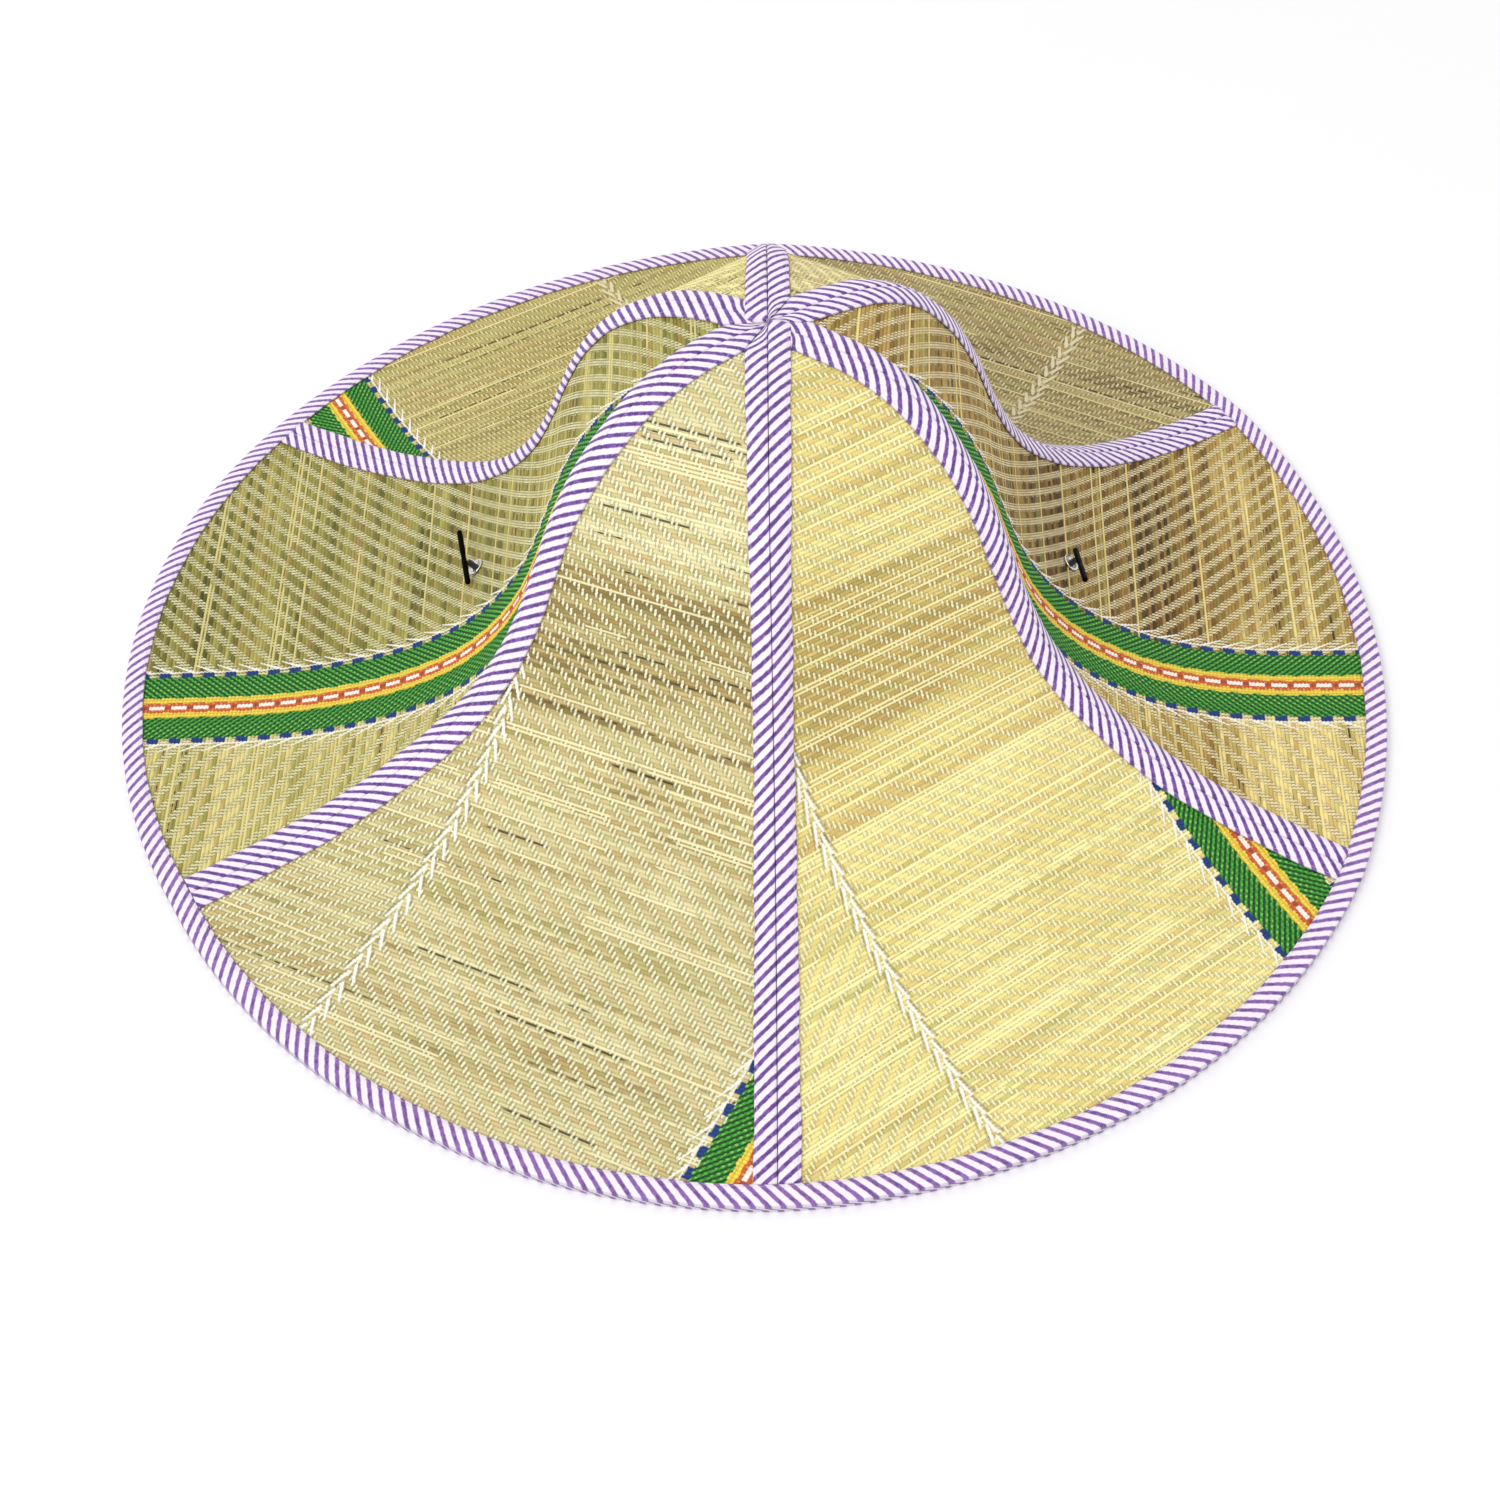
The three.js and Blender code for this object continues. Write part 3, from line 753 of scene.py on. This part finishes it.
def striped_tape(name, purple_tone, deep_tone, deep_from):
    """The binding tape's finish: purple stripes at 45 degrees on a lilac white ground, a fine
    plain weave, darker yarns inside the stripes and a row of stitches near the free edge, with
    painted shade along the free edges and along the fold. The deep tone shows where a drifting
    number is past deep_from, so less of it shows as that rises."""
    finish = Finish(name, Roughness=0.85, Sheen_Weight=0.15)
    x, y, edge = finish.attribute("cloth")
    wander, blotch, fade = finish.drifts(x / 1.3, y / 1.3, 0.0, 1.0)
    phase = ((x + y) / (STRIPE_PITCH * 2**0.5) + wander * 0.16).fract()
    middle = abs(phase - 0.5)
    yarn = abs(((x - y) / 0.7).fract() - 0.5)
    stripe = (1 - middle.between(0.15, 0.28)) * (1 - yarn.between(0.38, 0.5) * 0.3)
    deep = blotch.between(deep_from, deep_from + 0.18) * (1 - middle.between(0.09, 0.19))
    purple = finish.mixed(deep * 0.85, purple_tone, deep_tone)
    purple = finish.mixed(fade.between(0.52, 0.7) * 0.35, purple, srgb(164, 124, 208))
    weft = (x * 18.0).sine() * 0.5 + 0.5
    warp = (y * 18.0).sine() * 0.5 + 0.5
    cloth = weft * warp
    ground = finish.mixed(cloth * 0.3, srgb(250, 240, 252), srgb(230, 212, 240))
    colour = finish.mixed(stripe, ground, purple)
    from_row = abs(edge - STITCHES_FROM_EDGE)
    in_stitch = 1 - abs((y / STITCH_LENGTH).fract() - 0.5).between(0.3, 0.36)
    stitch = (1 - from_row.between(0.07, 0.14)) * in_stitch
    colour = finish.mixed(stitch * 0.4, colour, srgb(214, 204, 226))
    # Painted shade along the tape's free edges, where it meets the mat.
    free_edge_shade = 1 - edge.between(0.0, 0.24)
    colour = finish.mixed(free_edge_shade * 0.35, colour, srgb(140, 122, 160))
    # Painted shade along the fold, where the tape turns under the edge.
    fold = edge.between(5.95, 6.3)
    colour = finish.mixed(fold * 0.35, colour, srgb(120, 112, 130))
    finish.join(colour, finish.shader.inputs["Base Color"])
    sunk = 1 - from_row.between(0.1, 0.5)
    finish.bump(cloth * 0.35 + stripe * 0.2 - sunk * 0.7 + stitch * 0.6, 0.0002, 0.7)
    return finish.material


def bright_metal():
    """Nickel of a pressed eyelet, with fine turned scratches."""
    finish = Finish("eyelet_nickel", Metallic=1.0, Roughness=0.22)
    worn = finish.speckle(2400.0, 3.0)
    colour = finish.mixed(worn, srgb(246, 246, 248), srgb(214, 215, 220))
    finish.join(colour, finish.shader.inputs["Base Color"])
    finish.join(worn * 0.2 + 0.06, finish.shader.inputs["Roughness"])
    finish.bump(worn, 0.00004, 0.5)
    return finish.material


def black_plastic():
    """Moulded black plastic with a faint grain and dusty, worn spots."""
    finish = Finish("toggle_plastic", Specular_IOR_Level=0.05)
    grain = finish.speckle(900.0, 4.0)
    colour = finish.mixed(grain.between(0.45, 0.75), srgb(0, 0, 0), srgb(4, 4, 5))
    finish.join(colour, finish.shader.inputs["Base Color"])
    finish.join(grain * 0.25 + 0.25, finish.shader.inputs["Roughness"])
    finish.bump(grain, 0.00005, 0.4)
    return finish.material


def braided_elastic():
    """Black braided elastic: two sets of yarns wind round the cord in opposite ways."""
    finish = Finish("elastic_braid", Roughness=0.9, Sheen_Weight=0.3)
    turn, along, _ = finish.attribute("cloth")
    one = (turn * 6 + along / 1.1).fract()
    other = (turn * 6 - along / 1.1).fract()
    over = (((one > 0.5) + (other > 0.5)) % 2) * 1.0
    round_one = 1 - abs(one - 0.5) * 2
    round_other = 1 - abs(other - 0.5) * 2
    height = over * round_one + (1 - over) * round_other
    fuzz = finish.drifts(turn * 30, along * 2, 0.0, 2.0)[0]
    # Painted light and shade: the yarns' crests are made lighter and the hollows between them darker,
    # with a random fuzz on top.
    colour = finish.mixed(height * 0.6 + fuzz * 0.4, srgb(12, 12, 14), srgb(52, 52, 57))
    finish.join(colour, finish.shader.inputs["Base Color"])
    finish.bump(height, 0.00015, 0.9)
    return finish.material


def pale_floor():
    """A plain white studio floor with the faintest mottling."""
    finish = Finish("studio_floor", Roughness=0.9)
    colour = finish.mixed(finish.speckle(3.0, 2.0), srgb(253, 253, 253), srgb(250, 250, 250))
    finish.join(colour, finish.shader.inputs["Base Color"])
    return finish.material


def make_piece(name, points, faces, material, attribute=None):
    """A piece from points in millimetres from the crown's axis and arrays of faces, one array for
    each number of corners. An attribute is a name and three numbers for each point. In a ring,
    faces may number points past the last: they are the first again, with an attribute's next
    numbers, so that a pattern runs on over the ring's join."""
    mesh = bpy.data.meshes.new(name)
    corners = np.concatenate([group.ravel() for group in faces]).astype(np.int32)
    counts = np.concatenate([np.full(len(group), group.shape[1]) for group in faces])
    starts = np.concatenate([[0], np.cumsum(counts)[:-1]]).astype(np.int32)
    mesh.vertices.add(len(points))
    mesh.vertices.foreach_set("co", ((points + CROWN_AXIS) * MM).astype(np.float32).ravel())
    mesh.loops.add(len(corners))
    mesh.loops.foreach_set("vertex_index", corners % len(points))
    mesh.polygons.add(len(counts))
    mesh.polygons.foreach_set("loop_start", starts)
    mesh.polygons.foreach_set("use_smooth", np.ones(len(counts), bool))
    mesh.update(calc_edges=True)
    if attribute is not None:
        layer = mesh.attributes.new(attribute[0], "FLOAT_VECTOR", "CORNER")
        layer.data.foreach_set("vector", attribute[1][corners].astype(np.float32).ravel())
    mesh.materials.append(material)
    piece = bpy.data.objects.new(name, mesh)
    bpy.context.collection.objects.link(piece)
    return piece


def grid_faces(rows, columns, first=0, is_round=False, is_flipped=False):
    """Four-cornered faces of a grid of points, row by row; a round grid's last column joins its
    first. A flipped grid faces the other way."""
    steps = columns if is_round else columns - 1
    i, j = np.meshgrid(np.arange(rows - 1), np.arange(steps), indexing="ij")
    after = (j + 1) % columns
    a, b = i * columns + j, (i + 1) * columns + j
    c, d = (i + 1) * columns + after, i * columns + after
    order = (a, d, c, b) if is_flipped else (a, b, c, d)
    return first + np.stack([part.ravel() for part in order], 1)


def mat_lines(gore):
    """The lines of a mat's grid. Each keeps a place round a stem and runs, at the stem's slant,
    from one side of the mat's outline to the other. Also how deep the stem's round outline lies
    there, and each line's first and last millimetre across."""
    phases, sinks = np.array(STEM_ROUND).T
    _, lengths = gore.lay_flat()
    stems = np.arange(2, int(lengths[-1] / STEM_PITCH))
    lines = (stems[:, None] + phases).ravel()
    sunk = np.tile(sinks, len(stems))
    probe = np.linspace(-PROBE_REACH, PROBE_REACH, PROBES)
    along = lines[:, None] * STEM_PITCH + probe * gore.slant
    across = np.broadcast_to(probe, along.shape)
    _, inside = gore.at_flat(across, along, np.full(along.shape, MAT_CREST))
    is_in = inside > 0
    filled = is_in.sum(1) > 4
    first_stem = np.argmax(filled) // len(phases) + 1
    last_stem = (len(filled) - 1 - np.argmax(filled[::-1])) // len(phases)
    keep = slice(first_stem * len(phases), last_stem * len(phases) + 1)
    lines, sunk, inside, is_in = lines[keep], sunk[keep], inside[keep], is_in[keep]
    rows = np.arange(len(lines))

    def crossing(index, other):
        """Where the outline lies between two probes, by their shares of the distance."""
        near, far = inside[rows, index], inside[rows, other]
        return probe[index] + (probe[other] - probe[index]) * near / (near - far)

    start = np.argmax(is_in, 1)
    stop = is_in.shape[1] - 1 - np.argmax(is_in[:, ::-1], 1)
    return lines, sunk, crossing(start, start - 1), crossing(stop, stop + 1)


def mat_faces(rows, lower_rows, columns):
    """The faces of a mat: an upper grid, a lower grid with one line under each groove, two sides
    whose faces follow one stem each, and the first and last edge."""
    per_stem = len(STEM_ROUND)
    base = rows * columns
    last = columns - 1
    stems = np.arange(lower_rows - 1)
    low_here, low_next = base + stems * columns, base + (stems + 1) * columns
    sides = [(stems * per_stem + k) * columns for k in range(per_stem + 1)]
    j = np.arange(columns - 1)
    edge, low_edge = (rows - 1) * columns, base + (lower_rows - 1) * columns
    return [
        grid_faces(rows, columns),
        grid_faces(lower_rows, columns, base, is_flipped=True),
        np.stack([sides[0], low_here, low_next, *sides[:0:-1]], 1),
        np.stack([*(side + last for side in sides), low_next + last, low_here + last], 1),
        np.stack([j, j + 1, base + j + 1, base + j], 1),
        np.stack([edge + j, low_edge + j, low_edge + j + 1, edge + j + 1], 1),
    ]


def mat_piece(gore, material):
    """A mat as a grid that follows its stems: its upper side is as deep as each stem's round
    outline, plus a slight unevenness that fades to the edges, and its underside is plain."""
    lines, sunk, low, high = mat_lines(gore)
    share = np.linspace(0, 1, MAT_COLUMNS)
    across = low[:, None] + (high - low)[:, None] * share
    along = lines[:, None] * STEM_PITCH + across * gore.slant
    wave = np.sin(across / 17 + along / 29) * np.sin(along / 13 - across / 41)
    from_ends = np.minimum(lines - lines[0], lines[-1] - lines) / 12
    cover = np.sin(np.pi * share) ** 0.5 * np.minimum(1, from_ends)[:, None]
    depth = MAT_CREST + sunk[:, None] + MAT_UNEVENNESS * (1 - wave) * cover
    upper, _ = gore.at_flat(across, along, depth)
    groove = slice(0, None, len(STEM_ROUND))
    under = np.full(across[groove].shape, MAT_UNDERSIDE)
    lower, _ = gore.at_flat(across[groove], along[groove], under)
    faces = mat_faces(len(upper), len(lower), MAT_COLUMNS)
    stem_number = np.broadcast_to(lines[:, None], across.shape)
    weave = np.stack([across, stem_number, np.zeros(across.shape)], -1)
    weave = np.concatenate([weave.reshape(-1, 3), weave[groove].reshape(-1, 3)])
    points = np.concatenate([upper.reshape(-1, 3), lower.reshape(-1, 3)])
    piece = make_piece(f"grass_mat_{gore.name}", points, faces, material, ("weave", weave))
    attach(piece, "root")
    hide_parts(f"mat_{gore.name}")
    return piece


def closed_loft(name, sections, cloth, material, is_flipped=False):
    """A tube through closed sections of equal corners, capped at both ends."""
    rows, corners = sections.shape[:2]
    ring = np.arange(corners)[None, :: -1 if is_flipped else 1]
    faces = [
        grid_faces(rows, corners, is_round=True, is_flipped=is_flipped),
        ring,
        (rows - 1) * corners + ring[:, ::-1],
    ]
    return make_piece(name, sections.reshape(-1, 3), faces, material, ("cloth", cloth.reshape(-1, 3)))


def tape_outline(width):
    """The folded section's distances from the fold and depths, the way round the cloth from the
    fold, and the distance from the nearer free edge."""
    share, depth = np.array(FOLDED_TAPE).T
    is_upper = depth < 2
    unrolled = np.where(is_upper, share * width, -share * width - 3)
    return share, depth, unrolled, (1 - share) * width


def seam_tape_piece(gore, side, material):
    """A tape folded round a mat's side: its section keeps its true width from the seam's upright
    plane into the mat and is carried down the seam. It narrows to the mat's middle at the tip,
    but two of the twelve stay wide there and lie over their neighbours."""
    seam = gore.seams[side]
    name = f"seam_tape_{SEAMS[seam][0]}_of_{gore.name}"
    is_over = name in TAPES_ON_TOP
    fine = np.linspace(0.03, 14.2, 1400)
    line = seam_points(seam, fine)
    length = np.concatenate([[0], np.cumsum(np.linalg.norm(np.diff(line, axis=0), axis=1))])
    brim_line = SEAMS[seam][2] - BRIM_TAPE_WIDTH - TAPE_GAP
    end = np.interp(brim_line, np.hypot(line[:, 0], line[:, 1]), length)
    share, depth, unrolled, edge = tape_outline(SEAM_TAPE_WIDTH)
    down = np.linspace(0, end, int(end / TAPE_STEP))[:, None]
    # A section follows the stems, which lean back to the tip, but ends along the brim's tape.
    lean = SEAM_TAPE_WIDTH * share / np.sqrt(3)
    along = down + lean * smoothstep(down, end - 30, end)
    row = np.interp(along, length, fine)
    here = seam_points(seam, row)
    ahead = unit(seam_points(seam, row + SLOPE_STEP) - here)
    normal = gore.surface(row, np.full(row.shape, float(side)), np.zeros(row.shape))[1]
    stem = unit(seam_points(gore.seams[1 - side], row) - here)
    turn = np.arccos(np.sum(ahead * stem, -1))
    inward = gore.inwards[side]
    width = SEAM_TAPE_WIDTH * (stem @ inward) / np.sin(turn)
    middle = gore.surface(row, np.full(row.shape, 0.5), np.zeros(row.shape))[0] @ inward
    limit = np.maximum(middle - 0.08, 0.25)
    if is_over:
        limit = np.maximum(limit, width * np.sqrt(np.clip(along / 5, 0.02, 1)))
    width = np.minimum(width, limit)
    full = np.clip(width / SEAM_TAPE_WIDTH, 0, 1)
    # Soft cloth: the free edge wanders a little and the upper face is puffed between its stitches.
    phase = seam * 2.1 + side * 4.7
    wander = 0.13 * np.sin(along / 7.3 + phase) + 0.09 * np.sin(along / 3.1 + 2 * phase)
    puff = 0.05 * np.sin(along / 4.1 + phase) + 0.04 * np.sin(along / 1.7 + 3 * phase)
    distance = width * share + wander * full * share**3
    on_top = smoothstep(-depth, -1.0, 0.0)
    sink = depth - puff * full * on_top - (0.55 * smoothstep(-along, -24, -8) if is_over else 0)
    reach = (distance + sink * (normal @ inward)) / (stem @ inward)
    points = here + stem * reach[..., None] - normal * sink[..., None]
    sign = 1 if side == 0 else -1
    x = np.broadcast_to(sign * unrolled, reach.shape)
    y = along + SEAM_TAPE_WIDTH * share / np.tan(turn)
    cloth = np.stack([x, y, np.broadcast_to(edge, reach.shape)], -1)
    piece = closed_loft(f"bound_{name}", points, cloth, material, is_flipped=side == 0)
    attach(piece, "root")
    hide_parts(name)
    return piece


def brim_tape_piece(gores, material):
    """One tape folded round the whole brim: its section is carried along the brim's edge, with
    its fold outside and its two free edges on the mats."""
    share, depth, unrolled, edge = tape_outline(BRIM_TAPE_WIDTH)
    rings = []
    for gore in gores:
        across = np.arange(90)[:, None] / 90 + np.zeros(len(share))
        inset = np.broadcast_to(share * BRIM_TAPE_WIDTH, across.shape).copy()
        ripple = 0.1 * np.sin(across * 41) + 0.07 * np.sin(across * 97 + 1)
        inset += ripple * share**3 * np.sin(np.pi * across)
        rings.append(gore.at_inset(across, inset, np.broadcast_to(depth, across.shape)))
    sections = np.concatenate(rings)
    outer = sections[:, FOLD_CORNER]
    steps = np.linalg.norm(np.roll(outer, -1, 0) - outer, axis=1)
    along = np.concatenate([[0], np.cumsum(steps)[:-1]])
    # The stripes close round the brim, so their pitch is stretched to a whole number of them.
    stripe = STRIPE_PITCH * 2**0.5
    lap = round(steps.sum() / stripe) * stripe
    along *= lap / steps.sum()
    parts = unrolled, along[:, None], edge
    cloth = np.stack([np.broadcast_to(part, sections.shape[:2]) for part in parts], -1)
    cloth = np.concatenate([cloth, cloth[:1] + [0, lap, 0]])
    rows, corners = cloth.shape[:2]
    faces = [grid_faces(rows, corners, is_round=True, is_flipped=True)]
    attribute = ("cloth", cloth.reshape(-1, 3))
    piece = make_piece("bound_brim_tape", sections.reshape(-1, 3), faces, material, attribute)
    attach(piece, "root")
    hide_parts(*(f"brim_tape_{gore.name}" for gore in gores))
    return piece


def turned(profile, start, direction, sides):
    """Rings of points: a profile of radii and heights turned round a line."""
    axis = unit(np.array(direction, float))
    first = unit(np.cross(axis, [0.0, 1.0, 0.1]))
    second = np.cross(axis, first)
    turn = np.linspace(0, 2 * np.pi, sides, endpoint=False)
    radius, height = np.array(profile, float).T
    around = np.cos(turn)[:, None] * first + np.sin(turn)[:, None] * second
    return np.array(start) + radius[:, None, None] * around + height[:, None, None] * axis


def eyelet_piece(side, material):
    """A pressed eyelet: a closed outline of rolled flanges and a barrel, turned round its axis."""
    start, direction = EYELETS[side]
    turn = np.radians(np.linspace(-100, 190, 12))
    curl = np.stack([2.55 + 0.42 * np.cos(turn), -0.3 + 0.3 * np.sin(turn)], 1)
    lower = np.stack([curl[::-1, 0], -3.1 - curl[::-1, 1]], 1)
    throat = [(1.75, -0.5), (1.55, -0.9), (1.5, -1.6), (1.55, -2.2), (1.75, -2.6)]
    barrel = [(2.05, -2.3), (2.05, -0.8)]
    profile = [*curl, *throat, *lower, *barrel]
    rings = turned(profile, start, direction, 40)
    rows, corners = rings.shape[:2]
    faces = [grid_faces(rows + 1, corners, is_round=True, is_flipped=True)]
    piece = make_piece(f"{side}_eyelet_ring", rings.reshape(-1, 3), faces, material)
    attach(piece, "root")
    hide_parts(f"eyelet_{side}")
    return piece


def toggle_piece(side, material):
    """A moulded bar with round ends and a shallow waist where the cord grips it, turned round
    its own line."""
    foot, head = (np.array(end) for end in TOGGLES[side])
    length = np.linalg.norm(head - foot)
    t = np.linspace(0, 1, 40)
    height = length * (1 - np.cos(np.pi * t)) / 2
    end = np.minimum(height, length - height)
    round_end = np.sqrt(np.clip(1 - (1 - np.clip(end / TOGGLE_ROUNDING, 0, 1)) ** 2, 0, 1))
    waist = 1 - TOGGLE_WAIST * np.exp(-(((height - length / 2) / 1.2) ** 2))
    radius = TOGGLE_RADIUS * np.maximum(round_end, 0.02) * waist
    rings = turned(np.stack([radius, height], 1), foot, head - foot, 20)
    rows, corners = rings.shape[:2]
    ring = np.arange(corners)
    faces = [
        grid_faces(rows, corners, is_round=True, is_flipped=True),
        ring[None, ::-1],
        (rows - 1) * corners + ring[None, :],
    ]
    piece = make_piece(f"{side}_toggle_bar", rings.reshape(-1, 3), faces, material)
    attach(piece, "root")
    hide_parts(f"toggle_{side}")
    return piece


def chin_cord_piece(material):
    """The elastic chin cord: a round section carried along its route, its sides kept level."""
    path = spaced_spline(CORD_ROUTE, 700)
    ahead = unit(np.gradient(path, axis=0))
    level = unit(np.cross(ahead, [0.0, 0.0, 1.0]))
    upward = np.cross(level, ahead)
    turn = np.linspace(0, 1, 14, endpoint=False)
    ring = np.cos(2 * np.pi * turn)[:, None], np.sin(2 * np.pi * turn)[:, None]
    points = path[:, None] + CORD_RADIUS * (ring[0] * level[:, None] + ring[1] * upward[:, None])
    steps = np.linalg.norm(np.diff(path, axis=0), axis=1)
    along = np.concatenate([[0], np.cumsum(steps)])
    shape = points.shape[:2]
    parts = turn, along[:, None], 0.0
    cloth = np.stack([np.broadcast_to(part, shape) for part in parts], -1)
    piece = closed_loft("elastic_chin_cord", points, cloth, material)
    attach(piece, "root")
    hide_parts("chin_cord")
    place = (path + CROWN_AXIS) * MM
    return piece


def light_studio():
    """A white room, one broad soft light from the front left above and a plain pale floor."""
    scene = bpy.context.scene
    scene.view_settings.view_transform = "Standard"
    world = bpy.data.worlds.new("white_room")
    world.use_nodes = True
    world.node_tree.nodes["Background"].inputs["Color"].default_value = (1, 1, 1, 1)
    world.node_tree.nodes["Background"].inputs["Strength"].default_value = 0.85
    scene.world = world
    lamp = bpy.data.lights.new("front_left_softbox", "AREA")
    lamp.shape = "DISK"
    lamp.size = 1.2
    lamp.energy = 22
    softbox = bpy.data.objects.new("front_left_softbox", lamp)
    softbox.location = (-1.1, -1.3, 1.9)
    softbox.rotation_euler = Vector((1.1, 1.3, -1.85)).to_track_quat("-Z", "Y").to_euler()
    bpy.context.collection.objects.link(softbox)
    mesh = bpy.data.meshes.new("studio_floor")
    mesh.from_pydata([(-6, -6, 0), (6, -6, 0), (6, 6, 0), (-6, 6, 0)], [], [(0, 1, 2, 3)])
    mesh.materials.append(pale_floor())
    floor = bpy.data.objects.new("studio_floor", mesh)
    bpy.context.collection.objects.link(floor)


aim_camera()
plastic = black_plastic()
toggles = [toggle_piece(side, plastic) for side in TOGGLES]
chin_cord_piece(braided_elastic())
light_studio()
gores = [Gore(index) for index in range(len(GORES))]
grass = {name: woven_grass(f"woven_grass_{name}", **looks) for name, looks in GRASS.items()}
tape = striped_tape("striped_seam_tape", srgb(118, 66, 164), srgb(66, 26, 110), 0.36)
brim_tape = striped_tape("striped_brim_tape", srgb(134, 88, 170), srgb(90, 52, 126), 0.44)
metal = bright_metal()
for gore in gores:
    mat_piece(gore, grass[gore.name])
    for side in (0, 1):
        seam_tape_piece(gore, side, tape)
brim_tape_piece(gores, brim_tape)
for side in EYELETS:
    eyelet_piece(side, metal)
